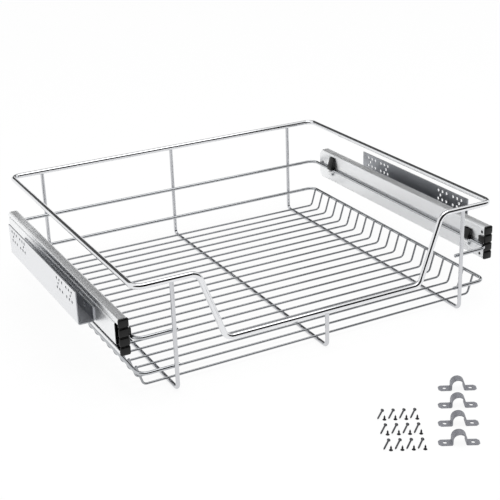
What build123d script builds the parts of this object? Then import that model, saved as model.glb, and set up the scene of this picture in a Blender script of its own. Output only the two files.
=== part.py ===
from build123d import *
import os
from math import atan2, cos, degrees, radians, sin, sqrt

# Pull-out wire basket for a 600 mm kitchen cabinet, shown closed.  Millimetres.
# X runs across the cabinet, -Y is the front that the basket is pulled towards, +Z is up.
# The origin is on the basket's centre lines, level with the underside of its frame wires.
# Wire sizes are diameters, and wire positions are those of the wire's centre line.

# Wires of the basket
rim_wire = 7.0
frame_wire = 5.0
ring_wire = 4.5
floor_wire = 2.8

# Rim, with the low way in at the front
rim_width = 488.0
rim_depth = 439.0
basket_height = 143.2
rim_corner_radius = 12.0
way_in_top_width = 335.4
way_in_bar_width = 272.0
way_in_bar_height = 50.5
way_in_bend_radius = 13.0

# Three U-shaped frame wires under the rim
frame_spacing = 200.0
frame_bend_radius = 7.0

# Two rings of wire inside the frame wires, open at the front
middle_ring_height = 75.6
lower_ring_height = 30.4
lower_ring_width = 488.0
ring_corner_radius = 12.0
ring_end_past_frame = 3.5

# Floor wires, drawn with flat sides because there are so many of them
floor_wire_count = 20
floor_wire_sides = 8
floor_rear_margin = 18.0
floor_front_margin = 24.0
floor_foot_inset = 8.0
floor_bend_radius = 6.0
floor_end_above_ring = 1.2

# Ball-bearing slides: the largest rail is on the basket and opens towards the cabinet
rail_spacing = 496.0
slide_length = 406.0
slide_height = 45.6
slide_thickness = 12.7
slide_front = -206.8
slide_centre_height = 77.2
rail_sheet = 1.2
rail_corner_radius = 2.5
rail_lip_depth = 6.4
rail_rear_chamfer = 7.0
cabinet_rail_corner_radius = 2.0
member_setback = 14.0
member_rear_setback = 2.0

# Balls and the cages that space them
ball_diameter = 3.5
race_clearance = 0.3
ball_row_offset = 3.8
balls_per_row = 5
ball_pitch = 36.0
cage_length = 170.0
cage_sheet = 0.5
cage_pocket_clearance = 0.06
cage_bend_radius = 1.5
outer_cage_above_balls = 0.55
outer_cage_past_balls = 1.15
inner_cage_past_balls = 0.34

# Angles at which the rolled races end, about the balls' centres
middle_race_end_angle = 300.0
cabinet_race_start_angle = 255.0
cabinet_race_bend_angle = 25.0

# Brackets that are screwed to the cabinet's walls
bracket_length = 254.0
bracket_centre = -2.5
bracket_width = 20.8
bracket_bottom = 66.4
bracket_plate_height = 42.2
bracket_upright_height = 18.5
bracket_sheet = 1.5
bracket_bend_radius = 1.5

# Screw holes in the brackets
hole_diameter = 4.4
hole_pitch = 9.1
holes_per_row_end = 3
hole_group_gap = 14.6
hole_row_spacing = 12.1
hole_rows_below_top = 12.2
hole_cluster_spacing = 175.0

# Rivets between bracket and cabinet rail
rivet_diameter = 4.0
rivet_head_diameter = 7.0
rivet_head_height = 1.0
rivet_hole_clearance = 0.05
rivet_pitch = 65.0
rivet_count = 4
rivet_sides = 12

# End caps of the basket rails
cap_wall = 2.5
cap_bulge = 1.4
cap_lobes = 4
cap_fit = 0.15
cap_plug_length = 10.5
cap_plug_height = 30.0
cap_tongue_length = 9.5
cap_tongue_height = 8.4
cap_tongue_thickness = 2.2
cap_tongue_above_ring = 0.3

# Hooks pressed out of the basket rails, and the clips that lock the ring wire on them
hook_radius = 4.6
hook_length = 8.0
front_hook_setback = 30.0
rear_hook_setback = 35.0
clip_wall = 2.0
clip_fit = 0.05
clip_nose_length = 10.0
clip_nose_drop = 7.0
front_clip_height = 13.0
front_clip_length = 14.0
rear_clip_height = 19.0
rear_clip_length = 17.0

# Round holes in the basket rail's web, two near its front end and one near its back end
web_hole_diameter = 4.2
upper_hole_setback = 6.4
upper_hole_rise = 14.6
lower_hole_setback = 9.6
lower_hole_drop = 16.3
rear_hole_setback = 8.8
rear_hole_rise = 2.6

# Loose fixings in front of the basket: saddle clamps, long screws and short screws
fixings_turn = -28.2
clamp_count = 4
clamp_length = 43.0
clamp_strap = 11.0
clamp_sheet = 1.2
clamp_arch_radius = 7.2
clamp_height = 13.8
clamp_bend_radius = 1.4
clamp_corner = 2.6
clamp_hole_diameter = 4.4
first_clamp_x = 72.5
first_clamp_y = -380.0
clamp_step_x = -22.8
clamp_step_y = -30.3
screw_sides = 8
screw_columns = 4
screw_rows = 3
screw_column_pitch = 11.8
screw_row_pitch = 30.0
screws_centre_x = -34.4
screws_centre_y = -419.6
long_screw_length = 20.0
long_screw_diameter = 2.0
long_screw_head = 4.0
long_screw_tip = 0.4
long_screw_turn = 21.7
short_screw_height = 6.0
short_screw_diameter = 2.2
short_screw_head = 4.4
short_screw_head_height = 1.6
short_screw_right = 4.1
short_screw_nearer = 7.4

# What follows from the driving sizes
rim_z = basket_height - rim_wire / 2
rim_half_width = rim_width / 2
rim_half_depth = rim_depth / 2
frame_z = frame_wire / 2
floor_z = frame_wire + floor_wire / 2
ring_half_depth = rim_half_depth - frame_wire / 2 - ring_wire / 2
web_x = rail_spacing / 2
middle_ring_half_width = web_x - ring_wire / 2
lower_ring_half_width = lower_ring_width / 2
slide_back = slide_front + slide_length
rail_front = slide_front + cap_wall
member_front = slide_front + member_setback
member_back = slide_back - member_rear_setback

# Rail and ring run side by side between these places, and the hooks lie in from both
side_by_side_front = max(slide_front, ring_corner_radius - ring_half_depth)
side_by_side_back = min(slide_back, ring_half_depth - ring_corner_radius)
front_hook = side_by_side_front + front_hook_setback
rear_hook = side_by_side_back - rear_hook_setback

race_radius = ball_diameter / 2 + race_clearance
groove_radius = race_radius + rail_sheet / 2
outer_ball_u = slide_thickness - race_radius - rail_sheet
outer_ball_v = slide_height / 2 - race_radius - rail_sheet
inner_ball_u = outer_ball_u - ball_row_offset
inner_ball_v = outer_ball_v - sqrt((2 * groove_radius) ** 2 - ball_row_offset ** 2)
row_angle = degrees(atan2(outer_ball_v - inner_ball_v, ball_row_offset))
middle_web_u = inner_ball_u - groove_radius

os.makedirs("parts", exist_ok=True)


def save(part, name):
    part.label = name
    export_step(part, f"parts/{name}.step")


def across(y, x=0.0, z=0.0):
    """A plane across the basket, with its x to the right and its y up, that faces the front."""
    return Plane(origin=(x, y, z), x_dir=(1, 0, 0), z_dir=(0, -1, 0))


def along(x, y=0.0, z=0.0):
    """A plane along the basket, with its x to the back and its y up, that faces the right."""
    return Plane(origin=(x, y, z), x_dir=(0, 1, 0), z_dir=(1, 0, 0))


def bent_wire(diameter, points, radius):
    """A round wire along straight runs with rounded bends."""
    with BuildPart() as wire:
        with BuildLine() as route:
            FilletPolyline(*points, radius=radius)
        with BuildSketch(Plane(origin=route.line @ 0, z_dir=route.line % 0)):
            Circle(diameter / 2)
        sweep(path=route.line)
    return wire.part


def mirrored(part):
    """The left-hand twin of a right-hand piece."""
    with BuildPart() as twin:
        mirror(part, about=Plane.YZ)
    return twin.part


def save_pair(part, name):
    save(mirrored(part), f"left_{name}")
    save(part, f"right_{name}")


# ---- Rim: one closed wire, bent down at the front and welded at the back ----
half_rim_points = [
    (0, rim_half_depth, rim_z),
    (rim_half_width, rim_half_depth, rim_z),
    (rim_half_width, -rim_half_depth, rim_z),
    (way_in_top_width / 2, -rim_half_depth, rim_z),
    (way_in_bar_width / 2, -rim_half_depth, way_in_bar_height),
    (0, -rim_half_depth, way_in_bar_height),
]
rim_bends = [rim_corner_radius] * 2 + [way_in_bend_radius] * 2
half_rim = bent_wire(rim_wire, half_rim_points, rim_bends)
with BuildPart() as rim:
    add(half_rim)
    mirror(half_rim, about=Plane.YZ)
save(rim.part, "rim")

# ---- Frame wires: U shapes across the depth, coped to the rim and welded under it ----
frame_names = {-1: "left_frame_wire", 0: "centre_frame_wire", 1: "right_frame_wire"}
for side, frame_name in frame_names.items():
    frame_x = side * frame_spacing
    front_end_z = rim_z if side else way_in_bar_height
    frame_points = [
        (frame_x, rim_half_depth, rim_z),
        (frame_x, rim_half_depth, frame_z),
        (frame_x, -rim_half_depth, frame_z),
        (frame_x, -rim_half_depth, front_end_z),
    ]
    with BuildPart() as frame:
        add(bent_wire(frame_wire, frame_points, frame_bend_radius))
        add(rim.part, mode=Mode.SUBTRACT)
    save(frame.part, frame_name)


# ---- Rings: welded inside the upright frame wires, and open at the front ----
def ring(half_width, height):
    ring_end = frame_spacing - frame_wire / 2 - ring_end_past_frame
    corners = [
        (ring_end, -ring_half_depth, height),
        (half_width, -ring_half_depth, height),
        (half_width, ring_half_depth, height),
        (-half_width, ring_half_depth, height),
        (-half_width, -ring_half_depth, height),
        (-ring_end, -ring_half_depth, height),
    ]
    return bent_wire(ring_wire, corners, ring_corner_radius)


save(ring(middle_ring_half_width, middle_ring_height), "middle_ring")
save(ring(lower_ring_half_width, lower_ring_height), "lower_ring")

# ---- Floor wires: across the frame wires, with ends turned up inside the lower ring ----
floor_end_x = lower_ring_half_width - ring_wire / 2 - floor_wire / 2
floor_foot_x = floor_end_x - floor_foot_inset
floor_end_z = lower_ring_height + floor_end_above_ring
floor_rear = rim_half_depth - floor_rear_margin
floor_front = -rim_half_depth + floor_front_margin
floor_pitch = (floor_rear - floor_front) / (floor_wire_count - 1)
flat_down = 180 / floor_wire_sides
with BuildPart() as one_floor_wire:
    with BuildLine() as floor_route:
        FilletPolyline(
            (-floor_end_x, 0, floor_end_z),
            (-floor_foot_x, 0, floor_z),
            (floor_foot_x, 0, floor_z),
            (floor_end_x, 0, floor_end_z),
            radius=floor_bend_radius,
        )
    route_start = floor_route.line @ 0
    with BuildSketch(Plane(origin=route_start, x_dir=(0, 1, 0), z_dir=floor_route.line % 0)):
        RegularPolygon(floor_wire / 2, floor_wire_sides, major_radius=False, rotation=flat_down)
    sweep(path=floor_route.line)
for i in range(floor_wire_count):
    with BuildPart() as placed_floor_wire:
        with Locations((0, floor_front + i * floor_pitch, 0)):
            add(one_floor_wire.part)
    save(placed_floor_wire.part, f"floor_wire_{i + 1:02d}")


# ---- Slides: right-hand profiles, with u from the basket's side to the cabinet's ----
def slide_section(y):
    """The plane across a slide, from which a positive extrusion runs to the front."""
    return across(y, web_x, slide_centre_height)


def slide_side(u):
    """The plane along a slide, from its front end, at a distance u towards the cabinet."""
    return along(web_x + u, slide_front, slide_centre_height)


# Basket rail: a C whose rolled edges hold the outer balls and end in straight lips
rail_top = slide_height / 2 - rail_sheet / 2
rail_corner_u = rail_sheet / 2 + rail_corner_radius
rail_corner_v = rail_top - rail_corner_radius
lip_end = slide_height / 2 - rail_lip_depth
hook_height = middle_ring_height - sqrt((hook_radius + ring_wire / 2) ** 2 - (ring_wire / 2) ** 2)
with BuildPart() as basket_rail:
    with BuildSketch(slide_section(slide_back)):
        with BuildLine():
            Line((rail_sheet / 2, 0), (rail_sheet / 2, rail_corner_v))
            CenterArc((rail_corner_u, rail_corner_v), rail_corner_radius, 90, 90)
            Line((rail_corner_u, rail_top), (outer_ball_u, rail_top))
            CenterArc((outer_ball_u, outer_ball_v), groove_radius, 0, 90)
            Line((outer_ball_u + groove_radius, outer_ball_v), (outer_ball_u + groove_radius, lip_end))
        trace(line_width=rail_sheet)
        mirror(about=Plane.XZ)
    extrude(amount=slide_back - rail_front)
    with BuildSketch(slide_side(0)):
        for end in (-1, 1):
            with BuildLine():
                Polyline(
                    (slide_length, end * slide_height / 2),
                    (slide_length - rail_rear_chamfer, end * slide_height / 2),
                    (slide_length, end * (slide_height / 2 - rail_rear_chamfer)),
                    close=True,
                )
            make_face()
    extrude(amount=slide_thickness, mode=Mode.SUBTRACT)
    web_holes = [
        (upper_hole_setback, upper_hole_rise),
        (lower_hole_setback, -lower_hole_drop),
        (slide_length - rear_hole_setback, rear_hole_rise),
    ]
    with BuildSketch(slide_side(0)):
        with Locations(*web_holes):
            Circle(web_hole_diameter / 2)
    extrude(amount=rail_sheet, mode=Mode.SUBTRACT)
    for hook_y in (front_hook, rear_hook):
        with BuildSketch(across(hook_y + hook_length / 2, web_x, hook_height)):
            Circle(hook_radius)
            Circle(hook_radius - rail_sheet, mode=Mode.SUBTRACT)
            split(bisect_by=Plane.YZ, keep=Keep.BOTTOM)
        extrude(amount=hook_length)
save_pair(basket_rail.part, "basket_rail")

# Middle rail: its S-shaped flange is a race for both rows of balls
with BuildPart() as middle_rail:
    with BuildSketch(slide_section(member_back)):
        with BuildLine():
            Line((middle_web_u, 0), (middle_web_u, inner_ball_v))
            CenterArc((inner_ball_u, inner_ball_v), groove_radius, row_angle, 180 - row_angle)
            CenterArc(
                (outer_ball_u, outer_ball_v), groove_radius, 180 + row_angle,
                middle_race_end_angle - 180 - row_angle,
            )
        trace(line_width=rail_sheet)
        mirror(about=Plane.XZ)
    extrude(amount=member_back - member_front)
save_pair(middle_rail.part, "middle_rail")

# Cabinet rail: the smallest rail, riveted to the bracket, with its back in the slide's mouth
cabinet_web_u = slide_thickness - rail_sheet / 2
flange_v = inner_ball_v - groove_radius * (2 * cos(radians(cabinet_race_bend_angle)) - 1)
flange_end_u = inner_ball_u + 2 * groove_radius * sin(radians(cabinet_race_bend_angle))
web_corner_u = cabinet_web_u - cabinet_rail_corner_radius
web_corner_v = flange_v - cabinet_rail_corner_radius
rivet_positions = [(i - (rivet_count - 1) / 2) * rivet_pitch for i in range(rivet_count)]
with BuildPart() as cabinet_rail:
    with BuildSketch(slide_section(member_back)):
        with BuildLine():
            Line((cabinet_web_u, 0), (cabinet_web_u, web_corner_v))
            CenterArc((web_corner_u, web_corner_v), cabinet_rail_corner_radius, 0, 90)
            Line((web_corner_u, flange_v), (flange_end_u, flange_v))
            CenterArc((flange_end_u, flange_v - groove_radius), groove_radius, 90, cabinet_race_bend_angle)
            CenterArc(
                (inner_ball_u, inner_ball_v), groove_radius, cabinet_race_start_angle,
                270 + cabinet_race_bend_angle - cabinet_race_start_angle,
            )
        trace(line_width=rail_sheet)
        mirror(about=Plane.XZ)
    extrude(amount=member_back - member_front)
    with BuildSketch(slide_side(slide_thickness - rail_sheet)):
        with Locations(*[(bracket_centre + y - slide_front, 0) for y in rivet_positions]):
            Circle(rivet_diameter / 2 + rivet_hole_clearance)
    extrude(amount=rail_sheet, mode=Mode.SUBTRACT)
save_pair(cabinet_rail.part, "cabinet_rail")

# ---- Balls and cages: one cage for the two outer rows of a slide, one for the inner rows ----
ball_rows = [(i - (balls_per_row - 1) / 2) * ball_pitch for i in range(balls_per_row)]
cage_middle = (slide_front + slide_back) / 2


def ball_places(u, v):
    return [
        (web_x + u, cage_middle + y, slide_centre_height + side * v) for side in (-1, 1) for y in ball_rows
    ]


def ball_set(u, v):
    """Balls drawn with 26 flat faces, whose corners lie on the real ball's surface."""
    flat_distance = ball_diameter / 2 * (1 + sqrt(2)) / sqrt(5 + 2 * sqrt(2))
    flat_side = 2 * flat_distance / (1 + sqrt(2))
    with BuildPart() as balls:
        with Locations(*ball_places(u, v)):
            Box(2 * flat_distance, 2 * flat_distance, 2 * flat_distance)
        chamfer(balls.edges(), flat_distance - flat_side / 2)
    return balls.part


outer_cage_u = (rail_sheet + middle_web_u - rail_sheet / 2) / 2
outer_cage_v = outer_ball_v + outer_cage_above_balls
outer_pocket = sqrt(
    (ball_diameter / 2) ** 2 - (outer_cage_above_balls - cage_sheet / 2) ** 2
) + cage_pocket_clearance
with BuildPart() as outer_cage:
    with BuildSketch(slide_section(cage_middle + cage_length / 2)):
        with BuildLine():
            Line((outer_cage_u, 0), (outer_cage_u, outer_cage_v - cage_bend_radius))
            CenterArc(
                (outer_cage_u + cage_bend_radius, outer_cage_v - cage_bend_radius), cage_bend_radius, 90, 90
            )
            Line(
                (outer_cage_u + cage_bend_radius, outer_cage_v),
                (outer_ball_u + outer_cage_past_balls, outer_cage_v),
            )
        trace(line_width=cage_sheet)
        mirror(about=Plane.XZ)
    extrude(amount=cage_length)
    with Locations(*ball_places(outer_ball_u, outer_cage_v)):
        Cylinder(outer_pocket, 2 * cage_sheet, mode=Mode.SUBTRACT)
save_pair(outer_cage.part, "outer_ball_cage")
save_pair(ball_set(outer_ball_u, outer_ball_v), "outer_balls")

inner_cage_u = middle_web_u + rail_sheet / 2 + race_clearance + cage_sheet / 2
inner_pocket = sqrt(
    (ball_diameter / 2) ** 2 - (inner_ball_u - inner_cage_u - cage_sheet / 2) ** 2
) + cage_pocket_clearance
with BuildPart() as inner_cage:
    with BuildSketch(slide_side(inner_cage_u - cage_sheet / 2)):
        with Locations((cage_middle - slide_front, 0)):
            Rectangle(cage_length, 2 * (inner_ball_v + inner_cage_past_balls))
            for side in (-1, 1):
                with Locations(*[(y, side * inner_ball_v) for y in ball_rows]):
                    Circle(inner_pocket, mode=Mode.SUBTRACT)
    extrude(amount=cage_sheet)
save_pair(inner_cage.part, "inner_ball_cage")
save_pair(ball_set(inner_ball_u, inner_ball_v), "inner_balls")

# ---- Brackets: bent sheet channels whose tall plates lie against the cabinet's walls ----
bracket_inner = web_x + slide_thickness
bracket_outer = bracket_inner + bracket_width
bend_centre = bracket_bend_radius + bracket_sheet / 2
hole_steps = [hole_group_gap / 2 + i * hole_pitch for i in range(holes_per_row_end)]
middle_hole_step = hole_steps[-1] - hole_pitch / 2
hole_rows_z = bracket_bottom + bracket_plate_height - hole_rows_below_top
hole_places = []
for cluster in (-1, 1):
    for end in (-1, 1):
        cluster_y = cluster * hole_cluster_spacing / 2
        hole_places += [
            (cluster_y + end * step, row * hole_row_spacing / 2) for step in hole_steps for row in (-1, 1)
        ]
        hole_places.append((cluster_y + end * middle_hole_step, 0))


def bracket_side(x):
    """The plane along a bracket through its rivets' centres."""
    return along(x, bracket_centre, slide_centre_height)


with BuildPart() as bracket:
    with BuildSketch(across(bracket_centre + bracket_length / 2)):
        with BuildLine():
            FilletPolyline(
                (bracket_inner + bracket_sheet / 2, bracket_bottom + bracket_upright_height),
                (bracket_inner + bracket_sheet / 2, bracket_bottom + bracket_sheet / 2),
                (bracket_outer - bracket_sheet / 2, bracket_bottom + bracket_sheet / 2),
                (bracket_outer - bracket_sheet / 2, bracket_bottom + bracket_plate_height),
                radius=bend_centre,
            )
        trace(line_width=bracket_sheet)
    extrude(amount=bracket_length)
    with BuildSketch(along(bracket_outer, bracket_centre, hole_rows_z)):
        with Locations(*hole_places):
            Circle(hole_diameter / 2)
    extrude(amount=-bracket_sheet, mode=Mode.SUBTRACT)
    with BuildSketch(bracket_side(bracket_inner)):
        with Locations(*[(y, 0) for y in rivet_positions]):
            Circle(rivet_diameter / 2 + rivet_hole_clearance)
    extrude(amount=bracket_sheet, mode=Mode.SUBTRACT)
save_pair(bracket.part, "cabinet_bracket")

# ---- Rivets: a flat head each side of the bracket's upright and the cabinet rail's web ----
rivet_grip = bracket_sheet + rail_sheet
with BuildPart() as rivets:
    with BuildSketch(bracket_side(bracket_inner - rail_sheet)):
        with Locations(*[(y, 0) for y in rivet_positions]):
            RegularPolygon(rivet_diameter / 2, rivet_sides)
    extrude(amount=rivet_grip)
    for head_x in (bracket_inner - rail_sheet - rivet_head_height, bracket_inner + bracket_sheet):
        with BuildSketch(bracket_side(head_x)):
            with Locations(*[(y, 0) for y in rivet_positions]):
                RegularPolygon(rivet_head_diameter / 2, rivet_sides)
        extrude(amount=rivet_head_height)
save_pair(rivets.part, "bracket_rivets")

# ---- End caps: moulded bumpers with four scalloped lobes, plugged into the rail's end ----
lobe_height = slide_height / cap_lobes
cap_chord = slide_front + cap_bulge
with BuildPart() as end_cap:
    with BuildSketch(along(web_x, 0, slide_centre_height)):
        with BuildLine():
            for i in range(cap_lobes):
                lobe_foot = -slide_height / 2 + i * lobe_height
                ThreePointArc(
                    (cap_chord, lobe_foot),
                    (slide_front, lobe_foot + lobe_height / 2),
                    (cap_chord, lobe_foot + lobe_height),
                )
            Polyline(
                (cap_chord, slide_height / 2),
                (rail_front, slide_height / 2),
                (rail_front, -slide_height / 2),
                (cap_chord, -slide_height / 2),
            )
        make_face()
    extrude(amount=slide_thickness)
    with BuildSketch(slide_section(rail_front)):
        with Locations(((rail_sheet + cap_fit + outer_ball_u) / 2, 0)):
            Rectangle(outer_ball_u - rail_sheet - cap_fit, cap_plug_height)
    extrude(amount=-cap_plug_length)
    tongue_bottom = middle_ring_height + ring_wire / 2 + cap_tongue_above_ring - slide_centre_height
    with BuildSketch(slide_side(0)):
        with Locations((cap_bulge, tongue_bottom)):
            Rectangle(cap_tongue_length, cap_tongue_height, align=(Align.MIN, Align.MIN))
    extrude(amount=-cap_tongue_thickness)
save_pair(end_cap.part, "end_cap")


# ---- Clips: black plastic keepers over the middle ring, against the basket rail's web ----
def ring_clip(y, length, height):
    """A keeper with its bore round the ring, which slopes down to its front end."""
    with BuildPart() as clip:
        with BuildSketch(across(y + length / 2)):
            with BuildLine():
                Polyline(
                    (web_x, middle_ring_height),
                    (web_x, middle_ring_height + height),
                    (web_x - clip_wall, middle_ring_height + height),
                    (web_x - ring_wire - clip_wall, middle_ring_height + ring_wire),
                    (web_x - ring_wire - clip_wall, middle_ring_height),
                    close=True,
                )
            make_face()
            with Locations((middle_ring_half_width, middle_ring_height)):
                Circle(ring_wire / 2 + clip_fit, mode=Mode.SUBTRACT)
        extrude(amount=length)
        with BuildSketch(along(web_x, y - length / 2, middle_ring_height)):
            with BuildLine():
                Polyline((0, height), (clip_nose_length, height), (0, height - clip_nose_drop), close=True)
            make_face()
        extrude(amount=-(ring_wire + clip_wall), mode=Mode.SUBTRACT)
    return clip.part


save_pair(ring_clip(front_hook, front_clip_length, front_clip_height), "front_clip")
save_pair(ring_clip(rear_hook, rear_clip_length, rear_clip_height), "rear_clip")

# ---- Loose fixings, laid out on the floor in front of the basket ----
clamp_leg = clamp_height - clamp_sheet / 2 - clamp_arch_radius
clamp_places = [
    (first_clamp_x + i * clamp_step_x, first_clamp_y + i * clamp_step_y, 0) for i in range(clamp_count)
]
with BuildPart() as one_clamp:
    with BuildSketch(across(clamp_strap / 2)):
        with BuildLine():
            FilletPolyline(
                (clamp_length / 2, clamp_sheet / 2),
                (clamp_arch_radius, clamp_sheet / 2),
                (clamp_arch_radius, clamp_leg),
                radius=clamp_bend_radius,
            )
            CenterArc((0, clamp_leg), clamp_arch_radius, 0, 90)
        trace(line_width=clamp_sheet)
        mirror(about=Plane.YZ)
    extrude(amount=clamp_strap)
    upright_edges = one_clamp.edges().filter_by(Axis.Z).group_by(Axis.X)
    chamfer(upright_edges[0] + upright_edges[-1], clamp_corner)
    ear_centre = (clamp_length / 2 + clamp_arch_radius + clamp_sheet / 2) / 2
    with Locations((ear_centre, 0, clamp_sheet), (-ear_centre, 0, clamp_sheet)):
        Hole(clamp_hole_diameter / 2)
with BuildPart() as saddle_clamps:
    for place in clamp_places:
        with Locations(Location(place, (0, 0, fixings_turn))):
            add(one_clamp.part)
save(saddle_clamps.part, "saddle_clamps")

fixings_plane = Plane(origin=(screws_centre_x, screws_centre_y, 0)).rotated((0, 0, fixings_turn))
screw_cells = [
    ((i - (screw_columns - 1) / 2) * screw_column_pitch, (j - (screw_rows - 1) / 2) * screw_row_pitch)
    for i in range(screw_columns)
    for j in range(screw_rows)
]
screw_lie = (-sin(radians(long_screw_turn)), -cos(radians(long_screw_turn)))
screw_direction = fixings_plane.from_local_coords(Vector(*screw_lie, 0)) - fixings_plane.origin
long_screw_levels = [
    (0, long_screw_head / 2),
    (long_screw_head / 2, long_screw_diameter / 2),
    (long_screw_length - long_screw_diameter, long_screw_diameter / 2),
    (long_screw_length, long_screw_tip / 2),
]
with BuildPart() as one_long_screw:
    for level, radius in long_screw_levels:
        with BuildSketch(Plane.XY.offset(level)):
            RegularPolygon(radius, screw_sides)
    loft(ruled=True)
with BuildPart() as long_screws:
    for cell in screw_cells:
        head_x = cell[0] - screw_lie[0] * long_screw_length / 2
        head_y = cell[1] - screw_lie[1] * long_screw_length / 2
        head = fixings_plane.from_local_coords(Vector(head_x, head_y, long_screw_head / 2))
        with Locations(Plane(origin=head, z_dir=screw_direction)):
            add(one_long_screw.part)
save(long_screws.part, "long_screws")

with BuildPart() as short_screws:
    for cell in screw_cells:
        foot = Vector(cell[0] + short_screw_right, cell[1] - short_screw_nearer, 0)
        with BuildSketch(Plane(origin=fixings_plane.from_local_coords(foot))):
            RegularPolygon(short_screw_head / 2, screw_sides)
        extrude(amount=short_screw_head_height)
        with BuildSketch(Plane(origin=fixings_plane.from_local_coords(foot))):
            RegularPolygon(short_screw_diameter / 2, screw_sides)
        extrude(amount=short_screw_height)
save(short_screws.part, "short_screws")
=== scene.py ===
import math

import bpy
from mathutils import Matrix, Vector


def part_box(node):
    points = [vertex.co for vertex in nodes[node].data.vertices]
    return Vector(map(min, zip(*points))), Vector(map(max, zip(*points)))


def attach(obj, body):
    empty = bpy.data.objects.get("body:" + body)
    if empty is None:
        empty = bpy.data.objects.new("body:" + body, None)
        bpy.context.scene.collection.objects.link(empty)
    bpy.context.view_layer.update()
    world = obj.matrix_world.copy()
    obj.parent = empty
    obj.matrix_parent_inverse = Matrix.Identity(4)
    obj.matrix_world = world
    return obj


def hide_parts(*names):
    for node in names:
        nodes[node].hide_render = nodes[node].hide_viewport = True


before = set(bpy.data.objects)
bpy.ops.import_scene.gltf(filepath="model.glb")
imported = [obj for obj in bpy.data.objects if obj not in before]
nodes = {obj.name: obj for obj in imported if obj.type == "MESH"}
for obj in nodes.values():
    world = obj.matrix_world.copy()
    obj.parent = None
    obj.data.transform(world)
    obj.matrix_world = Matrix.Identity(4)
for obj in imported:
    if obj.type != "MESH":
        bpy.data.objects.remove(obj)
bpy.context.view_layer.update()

# ---- Rim ------------------------------------------------------------------------------
# One length of 7 mm steel wire, bent into a loop with a low way in at the front and
# butt-welded at the back, then bright chrome plated with the rest of the basket.

RIM_WIRE = 0.007
RIM_CORNER_RADIUS = 0.012
WAY_IN_TOP_WIDTH = 0.3354
WAY_IN_BAR_WIDTH = 0.272
WAY_IN_BEND_RADIUS = 0.013
RIM_CHROME = "#e6e7e9"
CHROME_HAZE_MM = 11.11
CHROME_WAVES_MM = 3.846
MERGE_DISTANCE = 1e-5


def hex_colour(code):
    """An sRGB hex value as the linear colour that Blender's sockets take."""
    channels = [int(code[i:i + 2], 16) / 255 for i in (1, 3, 5)]
    linear = [c / 12.92 if c <= 0.04045 else ((c + 0.055) / 1.055) ** 2.4 for c in channels]
    return (*linear, 1.0)


def add_node(tree, kind, values=(), links=(), **settings):
    """One node, with its settings, its sockets' values and what is plugged into it."""
    made = tree.nodes.new(kind)
    for setting, value in settings.items():
        setattr(made, setting, value)
    for socket, value in dict(values).items():
        made.inputs[socket].default_value = value
    for socket, source in dict(links).items():
        tree.links.new(source, made.inputs[socket])
    return made


def new_finish(name, **sockets):
    """A material whose Principled shader holds the finish's even values."""
    finish = bpy.data.materials.new(name)
    finish.use_nodes = True
    shader = finish.node_tree.nodes["Principled BSDF"]
    for socket, value in sockets.items():
        shader.inputs[socket.replace("_", " ")].default_value = value
    return finish, finish.node_tree, shader


def give_finish(piece, finish):
    piece.data.materials.clear()
    piece.data.materials.append(finish)


def noise_scale(patch_mm):
    """The scale of a noise whose patches are about this many millimetres across."""
    return 1000 / patch_mm


def bright_chrome(name, colour):
    """Decorative chrome over nickel: mirror bright, a little hazy in patches.

    It follows the slight waviness of drawn wire, which breaks up its reflections.  The
    real marks are under 1 mm long, and are drawn longer, or they wouldn't show.
    """
    finish, tree, shader = new_finish(name, Base_Color=hex_colour(colour), Metallic=1.0)
    place = add_node(tree, "ShaderNodeTexCoord").outputs["Object"]
    haze = add_node(
        tree, "ShaderNodeTexNoise", {"Scale": noise_scale(CHROME_HAZE_MM), "Detail": 3},
        {"Vector": place})
    roughness = add_node(
        tree, "ShaderNodeMapRange", {"To Min": 0.04, "To Max": 0.10},
        {"Value": haze.outputs["Fac"]})
    tree.links.new(roughness.outputs["Result"], shader.inputs["Roughness"])
    waves = add_node(
        tree, "ShaderNodeTexNoise", {"Scale": noise_scale(CHROME_WAVES_MM), "Detail": 2},
        {"Vector": place})
    bump = add_node(
        tree, "ShaderNodeBump", {"Strength": 0.12, "Distance": 0.0002},
        {"Height": waves.outputs["Fac"]})
    tree.links.new(bump.outputs["Normal"], shader.inputs["Normal"])
    return finish


def lift_selected(offset):
    bpy.ops.mesh.extrude_region_move(TRANSFORM_OT_translate={"value": offset})


def bend_wire(name, diameter, corners, radii, closed=False, sides=20, steps=8):
    """A round wire: a circle drawn along each run and spun round each bend."""
    bpy.ops.object.select_all(action="DESELECT")
    corners = [Vector(corner) for corner in corners]
    first_way = (corners[1] - corners[0]).normalized()
    bpy.ops.mesh.primitive_circle_add(
        vertices=sides, radius=diameter / 2, location=corners[0],
        rotation=first_way.to_track_quat("Z", "Y").to_euler())
    wire = bpy.context.object
    bpy.ops.object.transform_apply(location=True, rotation=True, scale=True)
    bpy.ops.object.mode_set(mode="EDIT")
    bpy.ops.mesh.select_all(action="SELECT")
    reached = corners[0]
    for before, corner, after, radius in zip(corners, corners[1:], corners[2:], radii):
        way_in = (corner - before).normalized()
        way_out = (after - corner).normalized()
        turn = way_in.angle(way_out)
        axis = way_in.cross(way_out).normalized()
        reach = radius * math.tan(turn / 2)
        bend_start = corner - way_in * reach
        lift_selected(bend_start - reached)
        centre = bend_start + axis.cross(way_in) * radius
        bpy.ops.mesh.spin(steps=steps, angle=-turn, center=centre, axis=axis)
        reached = corner + way_out * reach
    lift_selected(corners[-1] - reached)
    bpy.ops.mesh.select_all(action="SELECT")
    if closed:
        bpy.ops.mesh.remove_doubles(threshold=MERGE_DISTANCE)
    else:
        bpy.ops.mesh.fill_holes(sides=0)
    bpy.ops.mesh.normals_make_consistent(inside=False)
    bpy.ops.object.mode_set(mode="OBJECT")
    bpy.ops.object.shade_smooth_by_angle(angle=math.radians(50))
    wire.name = name
    wire.data.name = name
    return wire


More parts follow.
